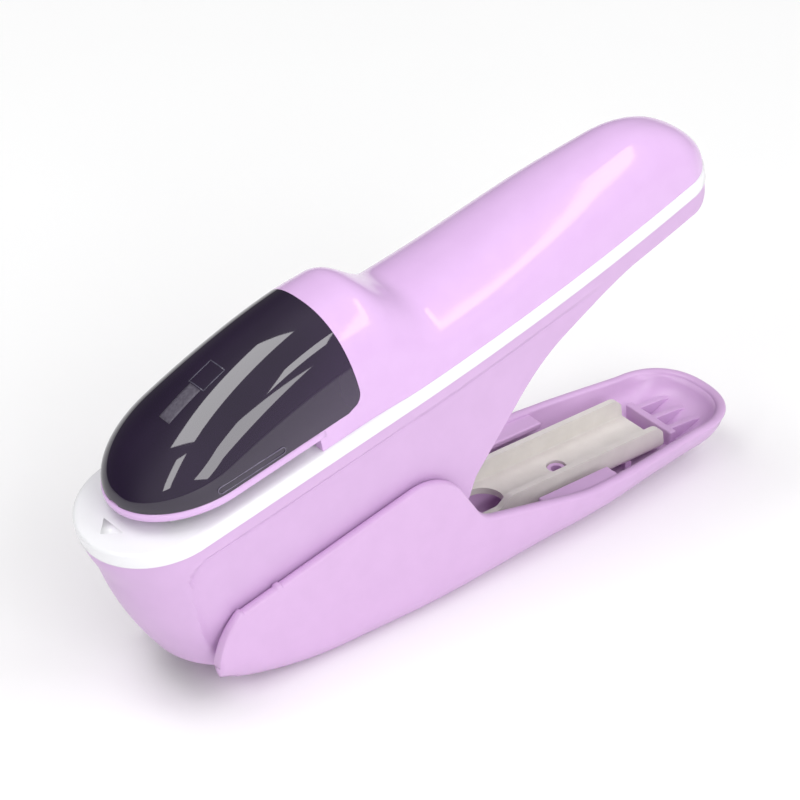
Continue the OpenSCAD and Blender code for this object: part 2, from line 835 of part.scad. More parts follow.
module spring_pad() {
    color([0.2, 0.2, 0.22])
        in_body()
            slab(-2.6, 2.6)
                polygon([[39, -13.9], [46.8, -13.9], [46.8, -13.3], [39, -13.3]]);
}

module frame_screws() {
    color(steel)
        in_body()
            for (s = frame_screw_s)
                translate([s, 0, -3.9]) {
                    cylinder(h = 1.19, r1 = 1.7, r2 = 2.1);
                    cylinder(h = 6.2, r = 0.9);
                }
}

module housing_screws() {
    color(steel)
        in_body() {
            for (p = deep_screws)
                translate([p[0], p[1], -11.6]) {
                    translate([0, 0, -1.2])
                        cylinder(h = 1.2, r = screw_head_r);
                    cylinder(h = 16.4, r = shank_r);
                }
            translate([tail_screw[0], 0, -4.1]) {
                translate([0, 0, -0.9])
                    cylinder(h = 0.9, r = screw_head_r);
                cylinder(h = 8.8, r = shank_r);
            }
        }
}

upper_shell();
sight_window();
paper_table();
paper_stop_pins();
lower_housing();
squeeze_lever();
lever_channel();
lever_pivot_pin();
mechanism_frame();
lift_rocker();
rocker_pivot_pin();
retaining_clips();
drive_pin();
drive_sleeve();
blade_carriage();
carriage_pins();
punch_blade();
slit_blade();
blade_rivet();
tongue_pusher();
pusher_pin();
die_plate();
die_screws();
return_spring();
spring_pad();
frame_screws();
housing_screws();
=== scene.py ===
import json
import math

import bmesh
import bpy
import numpy as np
from mathutils import Matrix, Vector


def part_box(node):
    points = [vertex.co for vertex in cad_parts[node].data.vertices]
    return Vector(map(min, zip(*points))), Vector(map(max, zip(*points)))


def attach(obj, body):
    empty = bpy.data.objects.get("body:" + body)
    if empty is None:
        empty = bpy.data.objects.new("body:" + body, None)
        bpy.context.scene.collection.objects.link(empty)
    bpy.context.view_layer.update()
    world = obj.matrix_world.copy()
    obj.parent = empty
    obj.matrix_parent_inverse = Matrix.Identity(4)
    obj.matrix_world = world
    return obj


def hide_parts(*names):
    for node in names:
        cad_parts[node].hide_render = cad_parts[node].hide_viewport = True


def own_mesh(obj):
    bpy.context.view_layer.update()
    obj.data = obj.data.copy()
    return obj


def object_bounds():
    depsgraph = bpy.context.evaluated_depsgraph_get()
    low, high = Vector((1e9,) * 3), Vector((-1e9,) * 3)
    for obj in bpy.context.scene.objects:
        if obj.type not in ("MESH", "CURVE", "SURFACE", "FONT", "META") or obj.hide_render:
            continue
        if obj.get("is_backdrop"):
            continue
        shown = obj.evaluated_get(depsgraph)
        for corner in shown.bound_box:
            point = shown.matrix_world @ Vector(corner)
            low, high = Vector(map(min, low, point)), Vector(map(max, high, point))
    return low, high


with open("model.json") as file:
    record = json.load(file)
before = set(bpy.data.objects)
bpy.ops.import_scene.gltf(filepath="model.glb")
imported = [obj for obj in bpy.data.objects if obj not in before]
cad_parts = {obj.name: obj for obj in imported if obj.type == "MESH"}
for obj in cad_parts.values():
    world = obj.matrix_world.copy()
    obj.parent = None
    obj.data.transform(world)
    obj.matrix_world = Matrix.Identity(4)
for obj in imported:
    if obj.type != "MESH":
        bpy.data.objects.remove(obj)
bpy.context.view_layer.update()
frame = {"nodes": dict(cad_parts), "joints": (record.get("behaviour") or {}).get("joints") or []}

# ---------------------------------------------------------------- frames
# the body frame starts at the table's nose, the lever frame lies behind the lever's pivot
JOINTS = {j["name"]: j for j in frame["joints"]}
LIFT_S, LIFT_H = 0.020, -0.0195                # the carriage joint's place in the body frame
PIVOT_TO_LEVER = Vector((0.052, 0, -0.002))
lift = JOINTS["carriage_lift"]
H = Vector(lift["axis"]).normalized()          # square to the paper table
S = Vector((H.z, 0, -H.x))                     # along the table, nose to tail
NOSE = Vector(lift["pos_m"]) - S * LIFT_S - H * LIFT_H
LEVER = Vector(JOINTS["lever_squeeze"]["pos_m"]) + PIVOT_TO_LEVER


def body(p):
    """(s, y, h) in mm of the body frame, to the row frame in metres"""
    p = np.asarray(p, float) / 1000
    return (np.array(NOSE) + p[..., :1] * np.array(S) + p[..., 1:2] * np.array((0, 1, 0))
            + p[..., 2:3] * np.array(H))


def lever(p):
    """(x, y, z) in mm of the lever frame, to the row frame in metres"""
    return np.array(LEVER) + np.asarray(p, float) / 1000


# ---------------------------------------------------------------- materials
RAMP = (0.35, 0.65)            # where a material's two tones lie on its noise
NOISE_RANGE = (0.3, 0.7)       # the noise values that its roughness is spread over
GRAIN_DEPTH = 0.0001


def noise(nodes, links, vector, scale, detail):
    texture = nodes.new("ShaderNodeTexNoise")
    texture.inputs["Scale"].default_value = scale
    texture.inputs["Detail"].default_value = detail
    links.new(vector, texture.inputs["Vector"])
    return texture.outputs["Fac"]


def paint_reflection_along(nodes, links, coords, colour, gradient):
    """painted reflection: a second tone that grows along a direction of the row frame"""
    direction, start, end, tone = gradient
    dot = nodes.new("ShaderNodeVectorMath")
    dot.operation = "DOT_PRODUCT"
    dot.inputs[1].default_value = direction
    links.new(coords, dot.inputs[0])
    share = nodes.new("ShaderNodeMapRange")
    share.interpolation_type = "SMOOTHSTEP"
    share.inputs["From Min"].default_value = start
    share.inputs["From Max"].default_value = end
    links.new(dot.outputs["Value"], share.inputs["Value"])
    mix = nodes.new("ShaderNodeMix")
    mix.data_type = "RGBA"
    links.new(share.outputs["Result"], mix.inputs[0])
    links.new(colour, mix.inputs[6])
    mix.inputs[7].default_value = (*tone, 1)
    return mix.outputs[2]


def material(name, tones, rough=(0.2, 0.3), scale=260, bump=0.02, bump_scale=1800, metal=0.0, coat=0.0,
             stretch=(1, 1, 1), gradient=None, spec=0.5):
    """two tones and a roughness spread over one noise, with a finer grain as bump"""
    m = bpy.data.materials.new(name)
    m.use_nodes = True
    nodes, links = m.node_tree.nodes, m.node_tree.links
    shader = nodes["Principled BSDF"]
    coords = nodes.new("ShaderNodeTexCoord").outputs["Object"]
    mapping = nodes.new("ShaderNodeMapping")
    mapping.inputs["Scale"].default_value = stretch
    links.new(coords, mapping.inputs["Vector"])
    stretched = mapping.outputs["Vector"]
    cloud = noise(nodes, links, stretched, scale, 4)
    ramp = nodes.new("ShaderNodeValToRGB")
    for element, place, tone in zip(ramp.color_ramp.elements, RAMP, tones):
        element.position = place
        element.color = (*tone, 1)
    links.new(cloud, ramp.inputs["Fac"])
    colour = ramp.outputs["Color"]
    if gradient:
        colour = paint_reflection_along(nodes, links, coords, colour, gradient)
    links.new(colour, shader.inputs["Base Color"])
    roughness = nodes.new("ShaderNodeMapRange")
    roughness.inputs["From Min"].default_value = NOISE_RANGE[0]
    roughness.inputs["From Max"].default_value = NOISE_RANGE[1]
    roughness.inputs["To Min"].default_value = rough[0]
    roughness.inputs["To Max"].default_value = rough[1]
    links.new(cloud, roughness.inputs["Value"])
    links.new(roughness.outputs["Result"], shader.inputs["Roughness"])
    if bump:
        relief = nodes.new("ShaderNodeBump")
        relief.inputs["Strength"].default_value = bump
        relief.inputs["Distance"].default_value = GRAIN_DEPTH
        links.new(noise(nodes, links, stretched, bump_scale, 3), relief.inputs["Height"])
        links.new(relief.outputs["Normal"], shader.inputs["Normal"])
    shader.inputs["Metallic"].default_value = metal
    shader.inputs["Coat Weight"].default_value = coat
    shader.inputs["Coat Roughness"].default_value = 0.04
    shader.inputs["IOR"].default_value = 1.5
    shader.inputs["Specular IOR Level"].default_value = spec
    return m


SHELL = material("shell_pink", ((0.68, 0.445, 0.75), (0.695, 0.46, 0.765)), (0.10, 0.15), bump=0.01)
HOUSING = material("housing_pink", ((0.60, 0.395, 0.65), (0.62, 0.41, 0.67)), (0.34, 0.42), bump=0.06,
                   bump_scale=3200)
LEVER_PINK = material("lever_pink", ((0.62, 0.405, 0.665), (0.64, 0.42, 0.685)), (0.30, 0.38), bump=0.05,
                      bump_scale=3200)
# the window turns a lighter purple towards its lower rear on the -y side: a painted reflection of the table
# and floor
WINDOW = material("window_tint_and_painted_reflection", ((0.009, 0.002, 0.019), (0.013, 0.004, 0.025)), (0.03, 0.05), scale=90,
                  bump=0.0, spec=0.8, gradient=((0.35, -0.9, -0.25), -0.018, 0.003, (0.044, 0.020, 0.070)))
MARK = material("window_mark", ((0.06, 0.05, 0.075), (0.09, 0.08, 0.11)), (0.35, 0.5), scale=2600, bump=0.4)
MARK_LINE = material("window_line", ((0.05, 0.045, 0.07), (0.09, 0.08, 0.12)), (0.1, 0.2), scale=900,
                     bump=0.1)
# the lug's outline is much lighter than the tinted window: a painted highlight along its raised edge
LUG_LINE = material("window_lug", ((0.12, 0.10, 0.15), (0.17, 0.15, 0.21)), (0.12, 0.2), scale=900, bump=0.05)
WHITE = material("table_white", ((0.835, 0.835, 0.86), (0.845, 0.845, 0.87)), (0.24, 0.27), bump=0.01,
                 coat=0.1)
# a touch darker than the table's white: painted shade, standing in for the arrow's recess
ARROW_PAINTED_SHADE = material("table_arrow_painted_shade", ((0.82, 0.82, 0.845), (0.83, 0.83, 0.855)), (0.28, 0.32), bump=0.02)
CREAM = material("channel_paint", ((0.72, 0.69, 0.65), (0.76, 0.73, 0.69)), (0.28, 0.4), scale=420, bump=0.08,
                 bump_scale=1400)
DARK = material("dark_moulding", ((0.025, 0.025, 0.028), (0.045, 0.045, 0.05)), (0.45, 0.6), bump=0.2)
STEEL = material("plated_steel", ((0.50, 0.50, 0.52), (0.60, 0.60, 0.61)), (0.24, 0.38), scale=700, bump=0.08,
                 metal=1.0, stretch=(1, 1, 6))
BLADE = material("blade_steel", ((0.62, 0.62, 0.64), (0.72, 0.72, 0.74)), (0.12, 0.22), scale=900, bump=0.06,
                 metal=1.0, stretch=(6, 1, 1))
SPRING = material("spring_steel", ((0.30, 0.30, 0.32), (0.42, 0.42, 0.44)), (0.22, 0.34), scale=900,
                  bump=0.05, metal=1.0)
BRASS = material("brass", ((0.62, 0.45, 0.2), (0.72, 0.54, 0.28)), (0.2, 0.34), scale=600, bump=0.05,
                 metal=1.0)
CAST = material("cast_alloy", ((0.45, 0.44, 0.43), (0.56, 0.55, 0.53)), (0.35, 0.5), scale=900, bump=0.2,
                metal=1.0)


# ---------------------------------------------------------------- mesh helpers
def mesh_from(name, verts, faces, merge=0.0):
    """a mesh with its normals outward; points closer than merge become one"""
    me = bpy.data.meshes.new(name)
    me.from_pydata([tuple(v) for v in verts], [], [tuple(f) for f in faces])
    bm = bmesh.new()
    bm.from_mesh(me)
    if merge:
        bmesh.ops.remove_doubles(bm, verts=bm.verts, dist=merge)
    bmesh.ops.recalc_face_normals(bm, faces=bm.faces)
    bm.to_mesh(me)
    bm.free()
    return me


def placed(name, me):
    o = bpy.data.objects.new(name, me)
    bpy.context.scene.collection.objects.link(o)
    return o


def smooth(me):
    for p in me.polygons:
        p.use_smooth = True


def mesh_object(name, verts, faces, mat, body_name, bevel=0.25, solid=0.0, offset=-1.0):
    me = mesh_from(name, verts, faces, merge=1e-6)
    smooth(me)
    o = placed(name, me)
    if solid:
        wall = o.modifiers.new("wall", "SOLIDIFY")
        wall.thickness = solid / 1000
        wall.offset = offset
        wall.use_quality_normals = True
    if bevel:
        finish_edges(o, bevel)
    me.materials.append(mat)
    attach(o, body_name)
    return o


def finish_edges(o, width, angle=32, segments=3):
    """rounds the edges sharper than angle by width, in mm"""
    b = o.modifiers.new("edge", "BEVEL")
    b.width = width / 1000
    b.segments = segments
    b.limit_method = "ANGLE"
    b.angle_limit = math.radians(angle)
    b.harden_normals = True
    b.use_clamp_overlap = True


def grid_faces(rows, cols, start=0, loop=False):
    f = []
    for i in range(rows - 1):
        for j in range(cols if loop else cols - 1):
            a, b = start + i * cols + j, start + i * cols + (j + 1) % cols
            f.append((a, b, b + cols, a + cols))
    return f


def join_grids(grids, loop=False):
    """several grids of points, shape (rows, cols, 3), as one list of points and faces"""
    v, f = [], []
    for g in grids:
        f += grid_faces(*g.shape[:2], len(v), loop)
        v += list(g.reshape(-1, 3))
    return v, f


def face(*corners):
    """a face without the corners that come twice"""
    return [q for k, q in enumerate(corners) if q not in corners[:k]]


def ease(t):
    u = np.clip(t, 0, 1)
    return u * u * (3 - 2 * u)


def spaced(a, b, n):
    return a + (b - a) * np.linspace(0, 1, n)


def rounded(path):
    """an open path of (x, z, radius) corners as points; its two ends have no radius"""
    out = [np.array(path[0][:2], float)]
    for before, here, after in zip(path[:-2], path[1:-1], path[2:]):
        tip = np.array(here[:2], float)
        u, v = (np.array(q[:2], float) - tip for q in (before, after))
        u, v = u / np.hypot(*u), v / np.hypot(*v)
        half_angle = math.acos(u @ v) / 2
        middle = tip + (u + v) / np.hypot(*(u + v)) * here[2] / math.sin(half_angle)
        p, q = (tip + w * here[2] / math.tan(half_angle) - middle for w in (u, v))
        start = math.atan2(p[1], p[0])
        turn = (math.atan2(q[1], q[0]) - start + 3 * math.pi) % (2 * math.pi) - math.pi
        out += [middle + here[2] * np.array((math.cos(start + turn * k), math.sin(start + turn * k)))
                for k in np.linspace(0, 1, 19)]
    return np.array(out + [np.array(path[-1][:2], float)])


def circle_pts(x, y, r, n=48, a0=0, a1=360):
    a = np.radians(np.linspace(a0, a1, n, endpoint=(a1 - a0) != 360))
    return np.column_stack([x + r * np.cos(a), y + r * np.sin(a)])


def rectangle(s0, s1, half):
    return [(s0, -half), (s1, -half), (s1, half), (s0, half)]


def prism(poly, lo, hi, axis):
    """a polygon drawn out along axis: 'y' takes (x, z) points, 'z' takes (x, y) points, 'x' takes (y, z)"""
    poly = np.asarray(poly, float)
    n = len(poly)
    out = []
    for t in (lo, hi):
        col = np.full(n, t)
        out.append({"y": np.column_stack([poly[:, 0], col, poly[:, 1]]),
                    "z": np.column_stack([poly[:, 0], poly[:, 1], col]),
                    "x": np.column_stack([col, poly[:, 0], poly[:, 1]])}[axis])
    f = [tuple(range(n))[::-1], tuple(range(n, 2 * n))]
    f += [(i, (i + 1) % n, n + (i + 1) % n, n + i) for i in range(n)]
    return np.vstack(out), f


def cutter(place, poly, lo, hi, axis="z"):
    """a prism to cut with, which cut() removes again"""
    v, f = prism(poly, lo, hi, axis)
    return placed("cutter", mesh_from("cutter", place(v), f))


def cut(o, tools):
    """cuts the tools out of o for good, before its other modifiers"""
    for t in tools:
        m = o.modifiers.new("cut", "BOOLEAN")
        m.object = t
        m.operation = "DIFFERENCE"
        m.solver = "EXACT"
    bpy.context.view_layer.update()
    keep = [m for m in o.modifiers if m.type != "BOOLEAN"]
    shown = [(m, m.show_viewport) for m in keep]
    for m in keep:
        m.show_viewport = False
    me = with_modifiers(o)
    for m, was_shown in shown:
        m.show_viewport = was_shown
    for m in [m for m in o.modifiers if m.type == "BOOLEAN"]:
        o.modifiers.remove(m)
    mats = list(o.data.materials)
    o.data = me
    me.materials.clear()
    for m in mats:
        me.materials.append(m)
    smooth(me)
    for t in tools:
        bpy.data.objects.remove(t)


def with_modifiers(o):
    """the object's mesh with its shown modifiers applied"""
    dg = bpy.context.evaluated_depsgraph_get()
    dg.update()
    return bpy.data.meshes.new_from_object(o.evaluated_get(dg))


def ring(side, h):
    """closed ring of points at one height from a half outline whose ends lie on the middle"""
    full = np.vstack([side, (side[1:-1] * (1, -1))[::-1]])
    return np.column_stack([full, np.full(len(full), h)])


def cap(n, start, first=0, flip=False):
    """strips across a ring made by ring(), with n points, from its pair number first on"""
    f = []
    for i in range(first, n // 2):
        quad = face(start + i, start + i + 1, start + (n - i - 1) % n, start + (n - i) % n)
        f.append(quad[::-1] if flip else quad)
    return f


def stacked(name, sides, heights, mat):
    """a piece of the housing's body made of rings on top of each other"""
    rings = [ring(s, h) for s, h in zip(sides, heights)]
    n = len(rings[0])
    f = grid_faces(len(rings), n, 0, True) + cap(n, 0, flip=True) + cap(n, n * (len(rings) - 1))
    return mesh_object(name, body(np.vstack(rings)), f, mat, "housing_body", bevel=0)


# ---------------------------------------------------------------- paper table (mm)
NOSE_R = 10.9                  # radius of the round nose, and half the table's width
TAIL_R = 7
TAIL_MIDDLE = 100.7            # middle of the tail's circle
TAIL_START = 101.6             # where that circle takes over from the side
SIDE_BEND = 0.001244           # how fast the side draws in behind s 45


def table_w(s, d=0.0):
    """half width of the table, let in by d"""
    s = np.asarray(s, float)
    side = NOSE_R - d - SIDE_BEND * np.clip(s - 45, 0, None) ** 2
    nose = np.sqrt(np.clip((NOSE_R - d) ** 2 - (NOSE_R - s) ** 2, 0, None))
    tail = np.sqrt(np.clip((TAIL_R - d) ** 2 - (s - TAIL_MIDDLE) ** 2, 0, None))
    return np.where(s < NOSE_R, nose, np.where(s > TAIL_START, tail, side))


def table_side(d):
    """half outline of the table, let in by d, from the nose's tip to the tail's"""
    a = np.radians(np.linspace(0, 90, 26))[1:]
    nose = NOSE_R - (NOSE_R - d) * np.cos(a)
    tail = TAIL_MIDDLE + (TAIL_R - d) * np.sin(a)
    tail = tail[tail > 101.7]
    s = np.concatenate([nose[:-1], np.linspace(NOSE_R, 101.2, 60), tail[:-1]])
    return np.vstack([[d, 0.0], np.stack([s, table_w(s, d)], 1), [TAIL_MIDDLE + TAIL_R - d, 0.0]])


# from the hollow's roof round the lower and upper edges to the flat top
TABLE_INSETS = (1.7, 1.7, 0.4, 0.1, 0, 0, 0.06, 0.2, 0.45, 0.9)
TABLE_HEIGHTS = (-1.6, -2.4, -2.4, -2.3, -2.05, -0.5, -0.25, -0.09, -0.01, 0.0)
table = stacked("paper_table_smooth", [table_side(d) for d in TABLE_INSETS], TABLE_HEIGHTS, WHITE)
cut(table, [cutter(body, rectangle(14.1, 22.2, 3.1), -6, 3), cutter(body, rectangle(23.7, 25.3, 3.4), -6, 3)])
for polygon in table.data.polygons:
    polygon.use_smooth = abs(polygon.normal.dot(H)) < 0.9999
finish_edges(table, 0.12, 40, 2)
# the arrow's plate fills the table's recess; its darker tone is painted shade
v, f = prism([(2.2, 0), (4.4, 2.2), (4.4, -2.2)], -0.3, 0.012, "z")
mesh_object("table_nose_arrow", body(v), f, ARROW_PAINTED_SHADE, "housing_body", bevel=0)
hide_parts("paper_table")


# ---------------------------------------------------------------- upper shell and window
HUMP_TOP, GRIP_TOP, GRIP_RISE = 16.1, 9.0, 1.5
HUMP_END, GRIP_START = 44.5, 55
WINDOW_END = 39.5              # where the window meets the shell
WINDOW_BEND = 17.8             # where the window's round nose begins
WINDOW_NOSE = 12.5             # length of that nose
WINDOW_HALF = 10.3             # half the window's width
WINDOW_RISE = 12.8             # height of its dome over the rim
WINDOW_BULGE, GRIP_BULGE = 2.4, 2.3            # how square the two sections are, 2 being an ellipse
RIM = 3.2                      # height of the rim's top over the table
U0 = 0.16                      # the part of the section that stands upright below the dome
CORNER_R, CORNER_TOP = 2.4, 5.6                # the window's lower back corners
PANE_LIFT = 0.03               # how far the window stands out from the shell


def shell_top(s):
    hump = HUMP_TOP - (HUMP_TOP - GRIP_TOP) * ease((s - HUMP_END) / (GRIP_START - HUMP_END))
    return np.where(s < HUMP_END, HUMP_TOP,
                    np.where(s < GRIP_START, hump, GRIP_TOP + GRIP_RISE * ease((s - 60) / 26)))


def shell_c(s):
    """height of the crown, which comes down round at the tail"""
    u = np.clip((s - 93.5) / 14.2, 0, 1)
    return shell_top(s) * (1 - u ** 1.9) ** 0.625


def window_c(s):
    """height of the dome over the rim"""
    u = np.clip((40 - s) / 34.7, 0, 1)
    return WINDOW_RISE * (1 - u ** 1.6) ** 0.615


def window_w(s):
    nose = WINDOW_HALF * np.sqrt(np.clip(1 - ((WINDOW_BEND - s) / WINDOW_NOSE) ** 2, 0, 1))
    return np.where(s < WINDOW_BEND, nose, WINDOW_HALF)


def dome_angle(u):
    return np.clip((u - U0) / (1 - U0), 0, 1) * np.pi / 2


def section(s, u, side):
    """point of the outer skin: u runs from the foot, 0, to the crown, 1"""
    s, u = np.broadcast_arrays(np.asarray(s, float), np.asarray(u, float))
    a = dome_angle(u)
    dome_y = np.where(u < U0, 1, np.cos(a) ** (2 / WINDOW_BULGE)) * window_w(s)
    dome_h = np.where(u < U0, RIM * u / U0, RIM + window_c(s) * np.sin(a) ** (2 / WINDOW_BULGE))
    b = u * np.pi / 2
    grip_y = table_w(s, 0.15) * np.cos(b) ** (2 / GRIP_BULGE)
    grip_h = shell_c(s) * np.sin(b) ** (2 / GRIP_BULGE)
    k = ease((s - WINDOW_END) / 10)
    return np.stack([s, side * (dome_y * (1 - k) + grip_y * k), dome_h * (1 - k) + grip_h * k], -1)


def both_sides(row, us):
    """rows over u from one foot over the crown to the other foot"""
    left = [row(u, 1) for u in us]
    right = [row(u, -1) for u in us[::-1]][1:]
    return np.array(left + right)


def corner(u):
    """where the window ends at height parameter u: its lower back corners are rounded"""
    h = RIM + (WINDOW_RISE - 0.1) * np.sin(dome_angle(u)) ** (2 / WINDOW_BULGE)
    d = np.clip(CORNER_TOP - h, 0, CORNER_R)
    return WINDOW_END - CORNER_R + math.sqrt(max(0, CORNER_R ** 2 - d ** 2))


TAIL = TAIL_MIDDLE + TAIL_R * np.sin(np.radians(np.linspace(8, 89.6, 26)))
US = np.concatenate([spaced(U0, 0.34, 14), spaced(0.34, 1, 40)[1:]])
LOW_US = spaced(0, U0, 7)


def shell_row(u, side, start):
    s = np.concatenate([spaced(start, 46, 16), spaced(46, 56, 16)[1:], spaced(56, 101, 44)[1:], TAIL])
    return section(s, u, side)


upper = both_sides(lambda u, k: shell_row(u, k, corner(u) + 0.1), US)
feet = [np.array([shell_row(u, k, 32.0) for u in LOW_US]) for k in (1, -1)]
v, f = join_grids([upper] + feet)
shell = mesh_object("upper_shell_smooth", body(v), f, SHELL, "housing_body", solid=1.7, bevel=0.22)
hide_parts("upper_shell")


def rim_side(d):
    """half outline of the rim, which stands a little out past the window, let in by d"""
    a = np.radians(np.linspace(0, 90, 30))
    half = WINDOW_HALF + 0.1 - d
    nose = np.column_stack([WINDOW_BEND - (WINDOW_NOSE + 0.25 - d) * np.cos(a), half * np.sin(a)])
    return np.vstack([nose, np.column_stack([np.linspace(18.5, 33, 16), np.full(16, half)]), [33, 0.0]])


RIM_INSETS = (0.6, 0.25, 0.05, 0, 0.05, 0.3)
RIM_HEIGHTS = (1.8, 1.86, 2.05, 2.5, 3.0, RIM)
rim = stacked("shell_rim", [rim_side(d) for d in RIM_INSETS], RIM_HEIGHTS, SHELL)
# the room for the die plate, and the opening over it
cut(rim, [cutter(body, rectangle(9, 31.2, 7.45), 1.0, 2.6), cutter(body, rectangle(14, 26.6, 4.2), 0.0, 5)])


def window_row(u, side):
    a = np.radians(np.linspace(0, 88.5, 44))
    nose = WINDOW_BEND - (WINDOW_NOSE - 0.05) * np.sin(a)[1:]
    return section(np.concatenate([np.linspace(corner(u), WINDOW_BEND, 30), nose]), u, side)


pane = both_sides(window_row, US)
pane[:, :, 2] += PANE_LIFT
v, f = join_grids([pane])
window = mesh_object("sight_window_smooth", body(v), f, WINDOW, "housing_body", solid=1.5,
                     bevel=0.18)
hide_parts("sight_window")


def bulge(part):
    """share of the dome's height that is left where its half width has been used up by part"""
    return (1 - np.clip(part, 0, 1) ** WINDOW_BULGE) ** (1 / WINDOW_BULGE)


def on_window(s, y, lift):
    """points laid on the window's outer face, from their plan places"""
    h = RIM + window_c(s) * bulge(np.abs(y) / np.maximum(window_w(s), 1e-3))
    return np.stack([s, y, h + PANE_LIFT + lift], -1)


def patch(name, s0, s1, y0, y1, mat, lift, n=14, m=8, thick=0.03):
    s, y = np.meshgrid(np.linspace(s0, s1, n), np.linspace(y0, y1, m), indexing="ij")
    v, f = join_grids([on_window(s, y, lift)])
    mesh_object(name, body(v), f, mat, "housing_body", bevel=0, solid=thick, offset=0)


patch("sight_mark_frosted", 15.6, 21.3, -1.15, 1.15, MARK, 0.012)
# the four sides of the outlined square
LINES = [(21.4, 25.4, -1.62, -1.46), (21.4, 25.4, 1.46, 1.62),
         (21.4, 21.56, -1.5, 1.5), (25.24, 25.4, -1.5, 1.5)]
for k, sides in enumerate(LINES):
    patch("sight_mark_line_%d" % k, *sides, MARK_LINE, 0.02, n=10, m=6, thick=0.05)


LUG_LINE_HALF = 0.11           # half the width of the side lug's line


def side_lug(name, sign, s0, s1, h, r):
    """a raised outline with round ends, low on the window's side, in a lighter tone that is a painted
    highlight
    """
    t = np.radians(np.linspace(0, 360, 72, endpoint=False))
    loops = []
    for d in (-LUG_LINE_HALF, 0, LUG_LINE_HALF):
        s = np.where(np.cos(t) > 0, s1, s0) + (r + d) * np.cos(t)
        z = h + (r + d) * np.sin(t)
        w = window_w(s) * bulge((z - RIM) / window_c(s))
        loops.append(np.stack([s, sign * (w + 0.05 + (0.12 if d == 0 else 0)), z], -1))
    v, f = join_grids([np.array(loops)], True)
    mesh_object(name, body(v), f, LUG_LINE, "housing_body", bevel=0, solid=0.08)


for k, sign in enumerate((-1, 1)):
    side_lug("window_lug_%d" % k, sign, 15.9, 26.0, 4.25, 0.5)


# ---------------------------------------------------------------- lower housing
HOUSING_TOP = -2.35
FRONT_END = 34                 # where the front's lean has died out
SWEEP_START = 53               # where the lower edge leaves its straight run
CLOSED_FROM = 58.5             # the underside is open ahead of this, where the lever's channel swings
# lower edge behind the lever's travel: two long bends, then level under the tail
SWEEP = rounded([(53, -24), (55, -20.9, 4), (69, -10.2, 30), (85, -5.2, 30), (103.5, -5.2, 7), (108.5, -1.6)])
RECESS_S, RECESS_H, RECESS_R = 11.4, -7.9, 3.6   # middle and radius of the recess's upper front corner


def low_edge(s):
    """lower edge of the walls, which rises a little to the front"""
    flat = -27 + 3 * (s - 8.3) / 44.7
    front = s + 7 * np.clip(FRONT_END - s, 0, None) / FRONT_END
    flat = np.maximum(flat, -26.1 + 0.13 * (22 - front))
    return np.where(s < SWEEP_START, flat, np.interp(s, SWEEP[:, 0], SWEEP[:, 1]))


def front_shift(h):
    """how far the front leans back at height h"""
    d = np.clip(-2.4 - h, 0, None)
    return 1.05 * ease(d / 6) + 0.0108 * d ** 2


def recess(s, h):
    """how far the side is let in for the lever's flaps, 0 to 1"""
    top = ease((-4.1 - h) / 1.1)
    front = ease((s - 7.8) / 1.3)
    ds, dh = np.clip(RECESS_S - s, 0, None), np.clip(h - RECESS_H, 0, None)
    round_corner = ease((RECESS_R - np.hypot(ds, dh)) / 0.8)
    return np.where((s < RECESS_S) & (h > RECESS_H), round_corner, np.minimum(top, front))


def housing_points(columns, depths):
    """rings round the walls; a depth runs from the table, 0, to the lower edge, 1"""
    s, y = columns[:, 0], columns[:, 1]
    rows = []
    for depth in depths:
        h = HOUSING_TOP + (low_edge(s) - HOUSING_TOP) * depth
        leaned = np.where(s < FRONT_END, s + front_shift(h) * (FRONT_END - s) / FRONT_END, s)
        let_in = 0.7 * recess(leaned, h) * ease((np.abs(y) - 8.6) / 1.2)
        rows.append(np.stack([leaned, np.sign(y) * (np.abs(y) - let_in), h], -1))
    return np.array(rows)


column_s = np.concatenate([NOSE_R - 10.6 * np.cos(np.radians(np.linspace(0, 88, 28))),
                           np.linspace(11.2, 53.15, 50), np.linspace(53.25, 58, 12),
                           np.linspace(58.6, 101, 40),
                           TAIL_MIDDLE + 6.7 * np.sin(np.radians(np.linspace(8, 90, 18)))])
half = np.stack([column_s, table_w(column_s, 0.3)], -1)
half[0, 1] = half[-1, 1] = 0
outline = ring(half, 0)[:, :2]
walls = housing_points(outline, np.concatenate([spaced(0, 0.42, 22), spaced(0.42, 1, 20)[1:]]))
v, f = join_grids([walls], True)
f += cap(len(outline), len(v) - len(outline), int(np.searchsorted(column_s, CLOSED_FROM)))
housing = mesh_object("lower_housing_smooth", body(v), f, HOUSING, "housing_body", solid=1.6,
                      bevel=0.3)
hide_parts("lower_housing")


# ---------------------------------------------------------------- lever
WALL = 1.5
BRIM = 0.5                     # height of the rounding on the flaps' upper edge
FLOOR_START = -58.6            # the floor starts behind the flaps' round front
FLAP_R = 10.45                 # the flaps' round front about the pivot
LUG = (-52.5, -51.7, 0.3)      # a small lug on the flaps' upper edge: from, to, height
TIP_START, TIP = 26.2, 9.6     # where the round tail begins, and its length
# the flaps rise straight to the crest that covers the mechanism, fall steeply and run down to the rim
FLAP = rounded([(-58, 10), (-23.5, 18.2, 8), (-16.5, 7.2, 5), (3, 3.1, 30), (40, 2.9)])


def lever_w(x):
    x = np.asarray(x, float)
    u = np.clip((x - TIP_START) / TIP, 0, 1)
    bend = 11.8 - 2.3 * np.clip((x - 8.8) / 17.4, 0, 1) - 0.25 * np.exp(-((x - 8.8) / 4.0) ** 2)
    return np.where(x < TIP_START, bend, 9.5 * (1 - u ** 2.3) ** (1 / 2.3))


